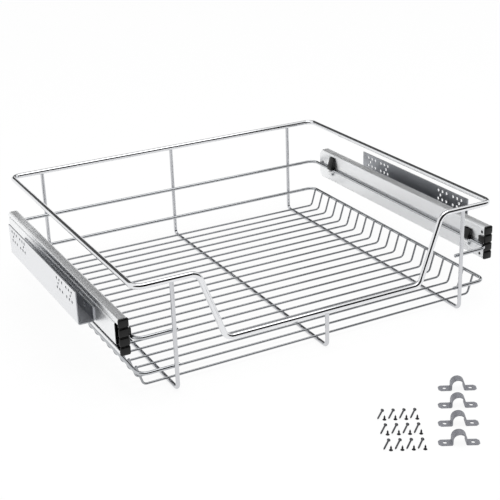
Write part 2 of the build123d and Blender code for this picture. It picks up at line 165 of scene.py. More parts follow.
rim_low, rim_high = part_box("rim")
rim_x = rim_high.x - RIM_WIRE / 2
rim_y = rim_high.y - RIM_WIRE / 2
rim_z = rim_high.z - RIM_WIRE / 2
bar_z = rim_low.z + RIM_WIRE / 2
way_in_bends = [WAY_IN_BEND_RADIUS] * 4
rim_corners = [RIM_CORNER_RADIUS] * 2
rim = bend_wire("rim_wire", RIM_WIRE, [
    (0, rim_y, rim_z), (rim_x, rim_y, rim_z), (rim_x, -rim_y, rim_z),
    (WAY_IN_TOP_WIDTH / 2, -rim_y, rim_z), (WAY_IN_BAR_WIDTH / 2, -rim_y, bar_z),
    (-WAY_IN_BAR_WIDTH / 2, -rim_y, bar_z), (-WAY_IN_TOP_WIDTH / 2, -rim_y, rim_z),
    (-rim_x, -rim_y, rim_z), (-rim_x, rim_y, rim_z), (0, rim_y, rim_z)],
    rim_corners + way_in_bends + rim_corners, closed=True, sides=32, steps=12)
give_finish(rim, bright_chrome("bright_chrome_rim", RIM_CHROME))
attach(rim, "basket")
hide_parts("rim")

# ---- Frame wires ----------------------------------------------------------------------
# Three 5 mm steel wires, each bent into a U across the basket's depth.  Their ends are
# butt-welded under the rim, the middle one's front end under its low bar.

FRAME_WIRE = 0.005
FRAME_BEND_RADIUS = 0.007
# The frame wires share the rim's plating, and their darker chrome colour is painted shade.
FRAME_SHADED_CHROME = "#cccdd0"
frame_shaded_chrome = bright_chrome("bright_chrome_frame_wire", FRAME_SHADED_CHROME)
frame_names = ("left_frame_wire", "centre_frame_wire", "right_frame_wire")
weld_depth = RIM_WIRE / 4
for node_name in frame_names:
    low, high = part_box(node_name)
    frame_x = (low.x + high.x) / 2
    frame_y = high.y - FRAME_WIRE / 2
    frame_z = low.z + FRAME_WIRE / 2
    front_top = bar_z if node_name.startswith("centre") else rim_z
    frame_wire = bend_wire(node_name + "_bent", FRAME_WIRE, [
        (frame_x, frame_y, rim_z - weld_depth), (frame_x, frame_y, frame_z),
        (frame_x, -frame_y, frame_z), (frame_x, -frame_y, front_top - weld_depth)],
        [FRAME_BEND_RADIUS] * 2, sides=24, steps=10)
    give_finish(frame_wire, frame_shaded_chrome)
    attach(frame_wire, "basket")
    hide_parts(node_name)

# ---- Rings ----------------------------------------------------------------------------
# Two 4.5 mm steel wires bent round the sides and back, and welded inside the upright frame
# wires.  They stop just past the front uprights, and the upper one hooks on the slides.

RING_WIRE = 0.0045
RING_CORNER_RADIUS = 0.012
RING_END_X = 0.194
# The rings share the rim's plating, and their darker chrome colour is painted shade.
RING_SHADED_CHROME = "#b9bbbe"
ring_shaded_chrome = bright_chrome("bright_chrome_ring", RING_SHADED_CHROME)
for node_name in ("middle_ring", "lower_ring"):
    low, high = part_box(node_name)
    ring_x = high.x - RING_WIRE / 2
    ring_y = high.y - RING_WIRE / 2
    ring_z = (low.z + high.z) / 2
    ring = bend_wire(node_name + "_wire", RING_WIRE, [
        (RING_END_X, -ring_y, ring_z), (ring_x, -ring_y, ring_z), (ring_x, ring_y, ring_z),
        (-ring_x, ring_y, ring_z), (-ring_x, -ring_y, ring_z), (-RING_END_X, -ring_y, ring_z)],
        [RING_CORNER_RADIUS] * 4, sides=20, steps=8)
    give_finish(ring, ring_shaded_chrome)
    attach(ring, "basket")
    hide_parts(node_name)

# ---- Floor wires ----------------------------------------------------------------------
# Twenty 2.8 mm steel wires side to side on the frame wires, with both ends turned up and
# welded inside the lower ring.  One is bent, and the twenty are copies of it.

FLOOR_WIRE = 0.0028
FLOOR_BEND_RADIUS = 0.006
FLOOR_FOOT_IN = 0.008
# The floor wires share the rim's plating, and their dark chrome colour is painted shade.
FLOOR_SHADED_CHROME = "#9a9c9f"
low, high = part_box("floor_wire_01")
floor_end_x = high.x - FLOOR_WIRE / 2
floor_z = low.z + FLOOR_WIRE / 2
floor_y = (low.y + high.y) / 2
floor_wire = bend_wire("floor_wire_master", FLOOR_WIRE, [
    (-floor_end_x, floor_y, high.z), (-floor_end_x + FLOOR_FOOT_IN, floor_y, floor_z),
    (floor_end_x - FLOOR_FOOT_IN, floor_y, floor_z), (floor_end_x, floor_y, high.z)],
    [FLOOR_BEND_RADIUS] * 2, sides=14, steps=7)
give_finish(floor_wire, bright_chrome("bright_chrome_floor_wire", FLOOR_SHADED_CHROME))
floor_names = sorted(name for name in nodes if name.startswith("floor_wire_"))
for node_name in floor_names:
    wire = floor_wire.copy()
    wire.data = floor_wire.data.copy()
    wire.name = node_name + "_bent"
    bpy.context.collection.objects.link(wire)
    low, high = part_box(node_name)
    wire.data.transform(Matrix.Translation((0, (low.y + high.y) / 2 - floor_y, 0)))
    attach(wire, "basket")
    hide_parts(node_name)
bpy.data.objects.remove(floor_wire)

# ---- Welds ----------------------------------------------------------------------------
# The nuggets that resistance welding leaves where two wires cross: every floor wire on the
# three frame wires, and both rings on the uprights.  They are plated with the basket.

WELD_RADIUS = 0.0013


def join_selected(pieces, name):
    """Several objects made into one, which keeps the name given."""
    bpy.ops.object.select_all(action="DESELECT")
    for piece in pieces:
        piece.select_set(True)
    bpy.context.view_layer.objects.active = pieces[0]
    bpy.ops.object.join()
    bpy.context.object.name = name
    bpy.context.object.data.name = name
    return bpy.context.object


weld_places = []
for node_name in frame_names:
    low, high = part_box(node_name)
    frame_x = (low.x + high.x) / 2
    for floor_name in floor_names:
        floor_low, floor_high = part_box(floor_name)
        weld_places.append((frame_x, (floor_low.y + floor_high.y) / 2, low.z + FRAME_WIRE))
    for ring_name in ("middle_ring", "lower_ring"):
        ring_low, ring_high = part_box(ring_name)
        ring_z = (ring_low.z + ring_high.z) / 2
        weld_places.append((frame_x, ring_high.y, ring_z))
        if not node_name.startswith("centre"):
            weld_places.append((frame_x, ring_low.y, ring_z))
nuggets = []
for place in weld_places:
    bpy.ops.mesh.primitive_uv_sphere_add(
        segments=10, ring_count=6, radius=WELD_RADIUS, location=place)
    nuggets.append(bpy.context.object)
welds = join_selected(nuggets, "weld_nuggets")
bpy.ops.object.transform_apply(location=True, rotation=True, scale=True)
bpy.ops.object.shade_smooth()
give_finish(welds, frame_shaded_chrome)
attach(welds, "basket")

# ---- Basket rails ---------------------------------------------------------------------
# The outer channel of each ball-bearing slide: 1.2 mm zinc plated strip rolled into a C,
# whose edges hold the outer balls.  Two half-round hooks on its web carry the upper ring.

RAIL_ZINC = "#f8f9fa"
RAIL_ROUGHNESS = 0.36
ZINC_CLOUD_MM = (8.333, 111.1, 8.333)
ZINC_CLOUDINESS = 0.05
RAIL_SHEET = 0.0012
SLIDE_THICKNESS = 0.0127
SLIDE_HEIGHT = 0.0456
RAIL_CORNER_RADIUS = 0.0025
RAIL_LIP_DEPTH = 0.0064
RAIL_REAR_CHAMFER = 0.007
BALL_RADIUS = 0.00175
RACE_CLEARANCE = 0.0003
WEB_HOLE = 0.0042
# Each hole's distance from the end of the slide, and its height above the middle.
FRONT_WEB_HOLES = ((0.0064, 0.0146), (0.0096, -0.0163))
REAR_WEB_HOLE = (0.0088, 0.0026)
HOOK_RADIUS = 0.0046
HOOK_LENGTH = 0.008
FRONT_HOOK_Y = -0.17275
REAR_HOOK_Y = 0.1642
BEND_STEP_DEGREES = 10
SHEET_EDGE = 0.00012
PUNCH_DEPTH = 0.006
ACROSS = (0, math.pi / 2, 0)


def satin_zinc(name, colour, roughness):
    """Zinc plating on rolled strip: an even satin grey, a little cloudy along the rolling.

    The clouds are long patches of more and of less sheen, which soften its reflections.
    """
    finish, tree, shader = new_finish(name, Base_Color=hex_colour(colour), Metallic=1.0)
    place = add_node(tree, "ShaderNodeTexCoord").outputs["Object"]
    along = add_node(
        tree, "ShaderNodeMapping", {"Scale": [noise_scale(size) for size in ZINC_CLOUD_MM]},
        {"Vector": place})
    clouds = add_node(
        tree, "ShaderNodeTexNoise", {"Scale": 1.0, "Detail": 2},
        {"Vector": along.outputs["Vector"]})
    spread = add_node(
        tree, "ShaderNodeMapRange",
        {"To Min": roughness - ZINC_CLOUDINESS, "To Max": roughness + ZINC_CLOUDINESS},
        {"Value": clouds.outputs["Fac"]})
    tree.links.new(spread.outputs["Result"], shader.inputs["Roughness"])
    return finish


def apply_modifier(piece, kind, **settings):
    bpy.ops.object.select_all(action="DESELECT")
    piece.select_set(True)
    bpy.context.view_layer.objects.active = piece
    modifier = piece.modifiers.new(kind.lower(), kind)
    for setting, value in settings.items():
        setattr(modifier, setting, value)
    bpy.ops.object.modifier_apply(modifier=modifier.name)


def start_point(name, place):
    """A mesh of one point, open in edit mode, to be drawn out into a profile."""
    bpy.ops.object.select_all(action="DESELECT")
    bpy.ops.mesh.primitive_plane_add(size=0.001, location=place)
    piece = bpy.context.object
    piece.name = name
    piece.data.name = name
    bpy.ops.object.transform_apply(location=True, rotation=True, scale=True)
    bpy.ops.object.mode_set(mode="EDIT")
    bpy.ops.mesh.select_all(action="SELECT")
    bpy.ops.mesh.merge(type="CENTER")
    return piece


def rolled_strip(name, sheet, ends, base_z, start, path, mirrored=False):
    """Sheet steel bent to a profile, drawn along the middle of the sheet above base_z.

    A pair in the path is a point (x, z) to go straight to.  A triple is an arc: its
    centre's x and z, and the degrees to turn, anticlockwise as seen from the front.
    """
    strip = start_point(name, (start[0], ends[0], start[1]))
    reached = Vector((start[0], 0, start[1]))
    for step in path:
        if len(step) == 2:
            target = Vector((step[0], 0, step[1]))
            lift_selected(target - reached)
        else:
            centre = Vector((step[0], 0, step[1]))
            turn = math.radians(step[2])
            bpy.ops.mesh.spin(
                steps=max(2, round(abs(step[2]) / BEND_STEP_DEGREES)), angle=-turn,
                center=centre + Vector((0, ends[0], 0)), axis=(0, -1, 0))
            target = centre + Matrix.Rotation(turn, 3, (0, -1, 0)) @ (reached - centre)
        reached = target
    bpy.ops.mesh.select_all(action="SELECT")
    lift_selected((0, ends[1] - ends[0], 0))
    bpy.ops.object.mode_set(mode="OBJECT")
    if mirrored:
        apply_modifier(
            strip, "MIRROR", use_axis=(False, False, True), merge_threshold=MERGE_DISTANCE)
    apply_modifier(strip, "SOLIDIFY", thickness=sheet, offset=0, use_even_offset=True)
    strip.location.z = base_z
    bpy.ops.object.transform_apply(location=True, rotation=True, scale=True)
    return strip


def tidy_normals(piece):
    bpy.ops.object.mode_set(mode="EDIT")
    bpy.ops.mesh.select_all(action="SELECT")
    bpy.ops.mesh.normals_make_consistent(inside=False)
    bpy.ops.object.mode_set(mode="OBJECT")


def combine(piece, other, operation):
    """One solid cut by another or united with it, which is then gone."""
    apply_modifier(piece, "BOOLEAN", operation=operation, solver="EXACT", object=other)
    bpy.data.objects.remove(other)


def punch(piece, places, diameter, turn=ACROSS, depth=PUNCH_DEPTH):
    """Round holes cut from side to side, or another way by the turn that is given."""
    punches = []
    for place in places:
        bpy.ops.mesh.primitive_cylinder_add(
            vertices=24, radius=diameter / 2, depth=depth, location=place, rotation=turn)
        punches.append(bpy.context.object)
    combine(piece, join_selected(punches, "punch"), "DIFFERENCE")


def trim(piece, point, outward):
    """Everything beyond a plane cut away, and the cut closed."""
    bpy.ops.object.select_all(action="DESELECT")
    piece.select_set(True)
    bpy.context.view_layer.objects.active = piece
    bpy.ops.object.mode_set(mode="EDIT")
    bpy.ops.mesh.select_all(action="SELECT")
    bpy.ops.mesh.bisect(plane_co=point, plane_no=outward, use_fill=True, clear_outer=True)
    bpy.ops.object.mode_set(mode="OBJECT")


def soften(piece, width, segments=1):
    """The sharp edges broken, and the bends shaded as curves."""
    apply_modifier(
        piece, "BEVEL", width=width, segments=segments, limit_method="ANGLE",
        angle_limit=math.radians(50))
    tidy_normals(piece)
    bpy.ops.object.shade_smooth_by_angle(angle=math.radians(35))


def add_pair(right_piece, part_name, body, finish):
    """A right-hand piece and its mirror image, each its own mesh in its node's place."""
    for side in ("right", "left"):
        piece = right_piece.copy()
        piece.data = right_piece.data.copy()
        piece.name = f"{side}_{part_name}_made"
        piece.data.name = piece.name
        bpy.context.collection.objects.link(piece)
        if side == "left":
            piece.data.transform(Matrix.Scale(-1, 4, (1, 0, 0)))
            piece.data.flip_normals()
        give_finish(piece, finish)
        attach(piece, body.replace("right", side))
        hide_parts(f"{side}_{part_name}")
    bpy.data.objects.remove(right_piece)


rail_low, rail_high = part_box("right_basket_rail")
web_x = rail_high.x - SLIDE_THICKNESS
slide_z = (rail_low.z + rail_high.z) / 2
groove_radius = BALL_RADIUS + RACE_CLEARANCE + RAIL_SHEET / 2
outer_ball_x = rail_high.x - groove_radius - RAIL_SHEET / 2
outer_ball_z = SLIDE_HEIGHT / 2 - groove_radius - RAIL_SHEET / 2
rail_top = SLIDE_HEIGHT / 2 - RAIL_SHEET / 2
rail_side = web_x + RAIL_SHEET / 2
corner_x = rail_side + RAIL_CORNER_RADIUS
corner_z = rail_top - RAIL_CORNER_RADIUS
lip_x = outer_ball_x + groove_radius
basket_rail = rolled_strip(
    "basket_rail", RAIL_SHEET, (rail_low.y, rail_high.y), slide_z, (rail_side, 0),
    [(rail_side, corner_z), (corner_x, corner_z, -90), (outer_ball_x, rail_top),
     (outer_ball_x, outer_ball_z, -90), (lip_x, SLIDE_HEIGHT / 2 - RAIL_LIP_DEPTH)], mirrored=True)
for edge in (-1, 1):
    chamfer_start = (0, rail_high.y - RAIL_REAR_CHAMFER, slide_z + edge * SLIDE_HEIGHT / 2)
    trim(basket_rail, chamfer_start, (0, 1, edge))
cap_low, cap_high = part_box("right_end_cap")
web_holes = [
    (rail_side, cap_low.y + from_end, slide_z + height) for from_end, height in FRONT_WEB_HOLES]
web_holes.append((rail_side, rail_high.y - REAR_WEB_HOLE[0], slide_z + REAR_WEB_HOLE[1]))
punch(basket_rail, web_holes, WEB_HOLE)
upper_ring_low, upper_ring_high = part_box("middle_ring")
ring_z = (upper_ring_low.z + upper_ring_high.z) / 2
hook_z = ring_z - math.sqrt((HOOK_RADIUS + RING_WIRE / 2) ** 2 - (RING_WIRE / 2) ** 2)
hook_arc = HOOK_RADIUS - RAIL_SHEET / 2
for hook_y in (FRONT_HOOK_Y, REAR_HOOK_Y):
    hook = rolled_strip(
        "hook", RAIL_SHEET, (hook_y - HOOK_LENGTH / 2, hook_y + HOOK_LENGTH / 2), hook_z,
        (rail_side, hook_arc), [(web_x, hook_arc), (web_x, 0, 180), (rail_side, -hook_arc)])
    combine(basket_rail, hook, "UNION")
soften(basket_rail, SHEET_EDGE)
add_pair(
    basket_rail, "basket_rail", "basket",
    satin_zinc("zinc_plated_basket_rail", RAIL_ZINC, RAIL_ROUGHNESS))

# ---- Middle rails ---------------------------------------------------------------------
# The slide's intermediate member, rolled from the same strip so that each edge is a race
# for two rows of balls.  Its grease and painted shade make it dark grey in the slide's open ends.

# This dark grey is partly painted shade, for the deep gaps where the rail shows.
GREASE_AND_SHADE_ZINC = "#5c5e60"
BALL_ROW_OFFSET = 0.0038
MIDDLE_RACE_END_DEGREES = 300
member_low, member_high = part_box("right_middle_rail")
inner_ball_x = outer_ball_x - BALL_ROW_OFFSET
inner_ball_z = outer_ball_z - math.sqrt((2 * groove_radius) ** 2 - BALL_ROW_OFFSET ** 2)
row_angle = math.degrees(math.atan2(outer_ball_z - inner_ball_z, BALL_ROW_OFFSET))
middle_web_x = inner_ball_x - groove_radius
middle_rail = rolled_strip(
    "middle_rail", RAIL_SHEET, (member_low.y, member_high.y), slide_z, (middle_web_x, 0),
    [(middle_web_x, inner_ball_z), (inner_ball_x, inner_ball_z, row_angle - 180),
     (outer_ball_x, outer_ball_z, MIDDLE_RACE_END_DEGREES - 180 - row_angle)], mirrored=True)
soften(middle_rail, SHEET_EDGE)
grease_and_shade_zinc = satin_zinc("greased_zinc_middle_rail", GREASE_AND_SHADE_ZINC, roughness=0.3)
add_pair(middle_rail, "middle_rail", "right_middle", grease_and_shade_zinc)

# ---- Cabinet rails --------------------------------------------------------------------
# The slide's inner member, which stays with the cabinet: rolled strip whose flanges curl
# over the inner balls.  Four rivets fix its web to the bracket.

CABINET_RAIL_CORNER = 0.002
CABINET_RACE_START_DEGREES = 255
CABINET_RACE_BEND_DEGREES = 25
RIVET_HOLE = 0.0041
RIVET_PITCH = 0.065
cabinet_low, cabinet_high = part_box("right_cabinet_rail")
race_bend = math.radians(CABINET_RACE_BEND_DEGREES)
cabinet_web_x = cabinet_high.x - RAIL_SHEET / 2
flange_z = inner_ball_z - groove_radius * (2 * math.cos(race_bend) - 1)
flange_end_x = inner_ball_x + 2 * groove_radius * math.sin(race_bend)
web_corner_x = cabinet_web_x - CABINET_RAIL_CORNER
web_corner_z = flange_z - CABINET_RAIL_CORNER
cabinet_rail = rolled_strip(
    "cabinet_rail", RAIL_SHEET, (cabinet_low.y, cabinet_high.y), slide_z, (cabinet_web_x, 0),
    [(cabinet_web_x, web_corner_z), (web_corner_x, web_corner_z, 90), (flange_end_x, flange_z),
     (flange_end_x, flange_z - groove_radius, CABINET_RACE_BEND_DEGREES),
     (inner_ball_x, inner_ball_z, CABINET_RACE_START_DEGREES - 270 - CABINET_RACE_BEND_DEGREES)],
    mirrored=True)
bracket_low, bracket_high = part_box("right_cabinet_bracket")
bracket_y = (bracket_low.y + bracket_high.y) / 2
rivet_ys = [bracket_y + step * RIVET_PITCH for step in (-1.5, -0.5, 0.5, 1.5)]
punch(cabinet_rail, [(cabinet_web_x, y, slide_z) for y in rivet_ys], RIVET_HOLE)
soften(cabinet_rail, SHEET_EDGE)
add_pair(
    cabinet_rail, "cabinet_rail", "cabinet_side",
    satin_zinc("zinc_plated_cabinet_rail", RAIL_ZINC, RAIL_ROUGHNESS))

# ---- Ball cages -----------------------------------------------------------------------
# Thin pressed strips with a pocket for each ball.  The frame's own solids have the true
# shape, so they only get their finish: plain steel under a film of grease.

CAGE_STEEL = "#6a6a68"
cage_steel = satin_zinc("greased_cage_steel", CAGE_STEEL, roughness=0.35)
for node_name in nodes:
    if node_name.endswith("ball_cage"):
        give_finish(nodes[node_name], cage_steel)

# ---- Balls ----------------------------------------------------------------------------
# Hardened bearing steel, ground and lapped to 3.5 mm, five to a row and four rows to a
# slide.  They run loose in the cages' pockets, between the races of two rails.

BALL_PITCH = 0.036
BALLS_PER_ROW = 5
BALL_STEEL = "#d6d7d9"
GREASE_FILM_MM = 2


def polished_steel(name, colour):
    """Lapped bearing steel: a mirror, hazed in places by the film of grease on it."""
    finish, tree, shader = new_finish(name, Base_Color=hex_colour(colour), Metallic=1.0)
    place = add_node(tree, "ShaderNodeTexCoord").outputs["Object"]
    film = add_node(
        tree, "ShaderNodeTexNoise", {"Scale": noise_scale(GREASE_FILM_MM), "Detail": 2},
        {"Vector": place})
    roughness = add_node(
        tree, "ShaderNodeMapRange", {"To Min": 0.04, "To Max": 0.16},
        {"Value": film.outputs["Fac"]})
    tree.links.new(roughness.outputs["Result"], shader.inputs["Roughness"])
    return finish


ball_steel = polished_steel("polished_ball_steel", BALL_STEEL)
for part_name, ball_x, ball_z in (
        ("outer_balls", outer_ball_x, outer_ball_z), ("inner_balls", inner_ball_x, inner_ball_z)):
    low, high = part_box("right_" + part_name)
    balls = []
    for row in (-1, 1):
        for count in range(BALLS_PER_ROW):
            ball_y = (low.y + high.y) / 2 + (count - (BALLS_PER_ROW - 1) / 2) * BALL_PITCH
            bpy.ops.mesh.primitive_uv_sphere_add(
                segments=20, ring_count=12, radius=BALL_RADIUS,
                location=(ball_x, ball_y, slide_z + row * ball_z))
            balls.append(bpy.context.object)
    row_of_balls = join_selected(balls, part_name)
    bpy.ops.object.transform_apply(location=True, rotation=True, scale=True)
    bpy.ops.object.shade_smooth()
    cage_body = "right_" + part_name.replace("balls", "cage")
    add_pair(row_of_balls, part_name, cage_body, ball_steel)

# ---- Cabinet brackets -----------------------------------------------------------------
# A channel pressed from 1.5 mm zinc plated sheet.  The low upright is riveted to the
# slide, and the tall plate with two groups of fourteen holes is screwed to the cabinet.

BRACKET_ZINC = "#eeeff1"
BRACKET_ROUGHNESS = 0.36
# The channel's colour is painted shade: the bracket's own plating drawn darker inside it.
CHANNEL_SHADE_ZINC = "#b6b8bc"
BRACKET_SHEET = 0.0015
BRACKET_BEND = 0.00225
BRACKET_UPRIGHT = 0.0185
PLATE_HOLE = 0.0044
HOLE_ROWS_BELOW_TOP = 0.0122
HOLE_ROW_SPACING = 0.0121
# From the middle of a group to the holes in its rows, and to the one between them.
HOLE_STEPS = (0.0073, 0.0164, 0.0255)
MIDDLE_HOLE_STEP = 0.02095
HOLE_GROUP_SPACING = 0.175
upright_x = bracket_low.x + BRACKET_SHEET / 2
plate_x = bracket_high.x - BRACKET_SHEET / 2
sole_z = BRACKET_SHEET / 2
bracket = rolled_strip(
    "cabinet_bracket", BRACKET_SHEET, (bracket_low.y, bracket_high.y), bracket_low.z,
    (upright_x, BRACKET_UPRIGHT),
    [(upright_x, sole_z + BRACKET_BEND), (upright_x + BRACKET_BEND, sole_z + BRACKET_BEND, 90),
     (plate_x - BRACKET_BEND, sole_z), (plate_x - BRACKET_BEND, sole_z + BRACKET_BEND, 90),
     (plate_x, bracket_high.z - bracket_low.z)])
hole_rows_z = bracket_high.z - HOLE_ROWS_BELOW_TOP
plate_holes = []
for group in (-1, 1):
    for end in (-1, 1):
        group_y = bracket_y + group * HOLE_GROUP_SPACING / 2
        plate_holes += [
            (plate_x, group_y + end * step, hole_rows_z + row * HOLE_ROW_SPACING / 2)
            for step in HOLE_STEPS for row in (-1, 1)]
        plate_holes.append((plate_x, group_y + end * MIDDLE_HOLE_STEP, hole_rows_z))
punch(bracket, plate_holes, PLATE_HOLE)
punch(bracket, [(upright_x, y, slide_z) for y in rivet_ys], RIVET_HOLE)
soften(bracket, SHEET_EDGE)
add_pair(
    bracket, "cabinet_bracket", "cabinet_side",
    satin_zinc("zinc_plated_bracket", BRACKET_ZINC, BRACKET_ROUGHNESS))
# Inside the channel the same plating is drawn darker and duller, as painted shade in the deep
# channel.
channel_shade_zinc = satin_zinc("painted_shade_zinc_in_channel", CHANNEL_SHADE_ZINC, roughness=0.4)
for side in ("left", "right"):
    made = bpy.data.objects[f"{side}_cabinet_bracket_made"]
    made.data.materials.append(channel_shade_zinc)
    for face in made.data.polygons:
        across_x = abs(face.center.x)
        if upright_x < across_x < plate_x and face.center.z > bracket_low.z + sole_z:
            face.material_index = 1

# ---- Rivets ---------------------------------------------------------------------------
# Four 4 mm steel rivets a side through the cabinet rail's web and the bracket's upright,
# with a low domed head pressed up at each end.

RIVET_RADIUS = 0.002
RIVET_HEAD_RADIUS = 0.0035
RIVET_HEAD_HEIGHT = 0.001
RIVET_DOME = ((0, 0), (0.00004, 0.0012), (0.0002, 0.0022), (0.0005, 0.003))
RIVET_ZINC = "#d8d9db"
TURNED_MERGE_DISTANCE = 1e-6


def turned(name, foot, axis, profile, sides=24):
    """A round piece: a profile of (distance along the axis, radius) spun once round it."""
    foot, axis = Vector(foot), Vector(axis).normalized()
    outward = axis.orthogonal().normalized()
    points = [foot + axis * along + outward * radius for along, radius in profile]
    piece = start_point(name, points[0])
    for before, after in zip(points, points[1:]):
        lift_selected(after - before)
    bpy.ops.mesh.select_all(action="SELECT")
    bpy.ops.mesh.spin(steps=sides, angle=2 * math.pi, center=foot, axis=axis)
    bpy.ops.mesh.select_all(action="SELECT")
    bpy.ops.mesh.remove_doubles(threshold=TURNED_MERGE_DISTANCE)
    bpy.ops.mesh.normals_make_consistent(inside=False)
    bpy.ops.object.mode_set(mode="OBJECT")
    bpy.ops.object.shade_smooth_by_angle(angle=math.radians(40))
    return piece


rivet_low, rivet_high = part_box("right_bracket_rivets")
grip_end = rivet_high.x - rivet_low.x - RIVET_HEAD_HEIGHT
dome = [*RIVET_DOME, (RIVET_HEAD_HEIGHT, RIVET_HEAD_RADIUS)]
far_dome = [(grip_end + RIVET_HEAD_HEIGHT - height, radius) for height, radius in reversed(dome)]
rivets = [
    turned("rivet", (rivet_low.x, y, slide_z), (1, 0, 0),
           dome + [(RIVET_HEAD_HEIGHT, RIVET_RADIUS), (grip_end, RIVET_RADIUS)] + far_dome)
    for y in rivet_ys]
add_pair(
    join_selected(rivets, "bracket_rivets"), "bracket_rivets", "cabinet_side",
    satin_zinc("zinc_plated_rivet", RIVET_ZINC, roughness=0.32))

# ---- End caps -------------------------------------------------------------------------
# Bumpers moulded in black nylon, each pushed into the front end of a rail: four cushioned
# lobes, a ribbed plug behind them and a small tongue over the ring.

CAP_WALL = 0.0025
CAP_LOBES = 4
CAP_ROUNDING = 0.0021
CAP_CORE_INSET = 0.0012
CAP_FACE_INSET = 0.0014
CAP_OVERLAP = 0.0005
CAP_EDGE = 0.0002
PLUG_HALF_HEIGHT = 0.015
PLUG_THICKNESS = 0.0035
PLUG_CLEARANCE = 0.00015
PLUG_EDGE = 0.0003
PLUG_RIBS = 5
RIB_STANDOFF = 0.001
RIB_SHARE = 0.6
SHORT_RIB_SETBACK = 0.0035
TONGUE_LENGTH = 0.0109
TONGUE_HEIGHT = 0.0084
TONGUE_GAP = 0.0003
TONGUE_ROOT = 0.0004
TONGUE_EDGE = 0.0005
BLACK_PLASTIC = "#060606"
PLASTIC_SHEEN_MM = 4.545
MOULD_GRAIN_MM = 0.25


def rounded_block(name, low, high, radius, segments=3):
    """A moulded block between two corners, with all its edges rounded."""
    bpy.ops.object.select_all(action="DESELECT")
    bpy.ops.mesh.primitive_cube_add(size=1, location=[(a + b) / 2 for a, b in zip(low, high)])
    block = bpy.context.object
    block.name = name
    block.data.name = name
    block.scale = [b - a for a, b in zip(low, high)]
    bpy.ops.object.transform_apply(location=True, rotation=True, scale=True)
    apply_modifier(block, "BEVEL", width=radius, segments=segments, limit_method="NONE")
    return block


def moulded_plastic(name, colour):
    """Black nylon from a spark-eroded mould: a fine even grain, with sheen in patches.

    The grain's real 0.05 mm is too fine for the render, and is drawn five times as coarse.
    """
    finish, tree, shader = new_finish(
        name, Base_Color=hex_colour(colour), Specular_IOR_Level=0.35)
    place = add_node(tree, "ShaderNodeTexCoord").outputs["Object"]
    sheen = add_node(
        tree, "ShaderNodeTexNoise", {"Scale": noise_scale(PLASTIC_SHEEN_MM), "Detail": 2},
        {"Vector": place})
    roughness = add_node(
        tree, "ShaderNodeMapRange", {"To Min": 0.24, "To Max": 0.42},
        {"Value": sheen.outputs["Fac"]})
    tree.links.new(roughness.outputs["Result"], shader.inputs["Roughness"])
    grain = add_node(
        tree, "ShaderNodeTexNoise", {"Scale": noise_scale(MOULD_GRAIN_MM), "Detail": 1},
        {"Vector": place})
    bump = add_node(
        tree, "ShaderNodeBump", {"Strength": 0.25, "Distance": 0.00004},
        {"Height": grain.outputs["Fac"]})
    tree.links.new(bump.outputs["Normal"], shader.inputs["Normal"])
    return finish


black_plastic = moulded_plastic("moulded_black_plastic", BLACK_PLASTIC)
front_y = cap_low.y
rail_front = front_y + CAP_WALL
slide_foot = slide_z - SLIDE_HEIGHT / 2
slide_top = slide_z + SLIDE_HEIGHT / 2
lobe_height = SLIDE_HEIGHT / CAP_LOBES
cap = rounded_block(
    "end_cap", (web_x + CAP_CORE_INSET, front_y + CAP_FACE_INSET, slide_foot + CAP_CORE_INSET),
    (rail_high.x - CAP_CORE_INSET, rail_front, slide_top - CAP_CORE_INSET),
    CAP_EDGE, segments=1)
for lobe in range(CAP_LOBES):
    lobe_foot = slide_foot + lobe * lobe_height
    cushion = rounded_block(
        "lobe", (web_x, front_y, lobe_foot),
        (rail_high.x, rail_front + 2 * CAP_ROUNDING, lobe_foot + lobe_height), CAP_ROUNDING)
    trim(cushion, (0, rail_front, 0), (0, 1, 0))
    combine(cap, cushion, "UNION")
plug_x = web_x + RAIL_SHEET + PLUG_CLEARANCE
plug_front = rail_front - CAP_OVERLAP
plug_foot = slide_z - PLUG_HALF_HEIGHT
plug = rounded_block(
    "plug", (plug_x, plug_front, plug_foot),
    (plug_x + PLUG_THICKNESS, cap_high.y, slide_z + PLUG_HALF_HEIGHT), PLUG_EDGE, segments=1)
combine(cap, plug, "UNION")
rib_pitch = 2 * PLUG_HALF_HEIGHT / PLUG_RIBS
for count in range(PLUG_RIBS):
    rib_foot = plug_foot + (count + (1 - RIB_SHARE) / 2) * rib_pitch
    rib_back = cap_high.y - (SHORT_RIB_SETBACK if count % 2 else 0)
    rib = rounded_block(
        "rib", (plug_x + RIB_STANDOFF, plug_front, rib_foot),
        (outer_ball_x, rib_back, rib_foot + RIB_SHARE * rib_pitch), PLUG_EDGE, segments=1)
    combine(cap, rib, "UNION")
tongue_foot = upper_ring_high.z + TONGUE_GAP
tongue = rounded_block(
    "tongue", (cap_low.x, front_y + CAP_FACE_INSET, tongue_foot),
    (web_x + TONGUE_ROOT, front_y + TONGUE_LENGTH, tongue_foot + TONGUE_HEIGHT),
    TONGUE_EDGE, segments=2)
combine(cap, tongue, "UNION")
tidy_normals(cap)
bpy.ops.object.shade_smooth_by_angle(angle=math.radians(40))
add_pair(cap, "end_cap", "basket", black_plastic)

# ---- Clips ----------------------------------------------------------------------------
# Keepers moulded in black nylon, sprung over the upper ring and against the rail's web by
# each hook, so that the basket can't lift off.  A bright steel tab stands by the rear ones.

CLIP_WALL = 0.002
CLIP_NOSE_LENGTH = 0.010
CLIP_NOSE_DROP = 0.007
CLIP_EDGE = 0.0005
RING_BORE = 0.0046
RING_BORE_DEPTH = 0.03
FRONT_TO_BACK = (math.pi / 2, 0, 0)
KEEPER_TAB_LENGTH = 0.0055
KEEPER_TAB_GAP = 0.0005
KEEPER_TAB_LIFT = 0.0003
KEEPER_TAB_EDGE = 0.0002


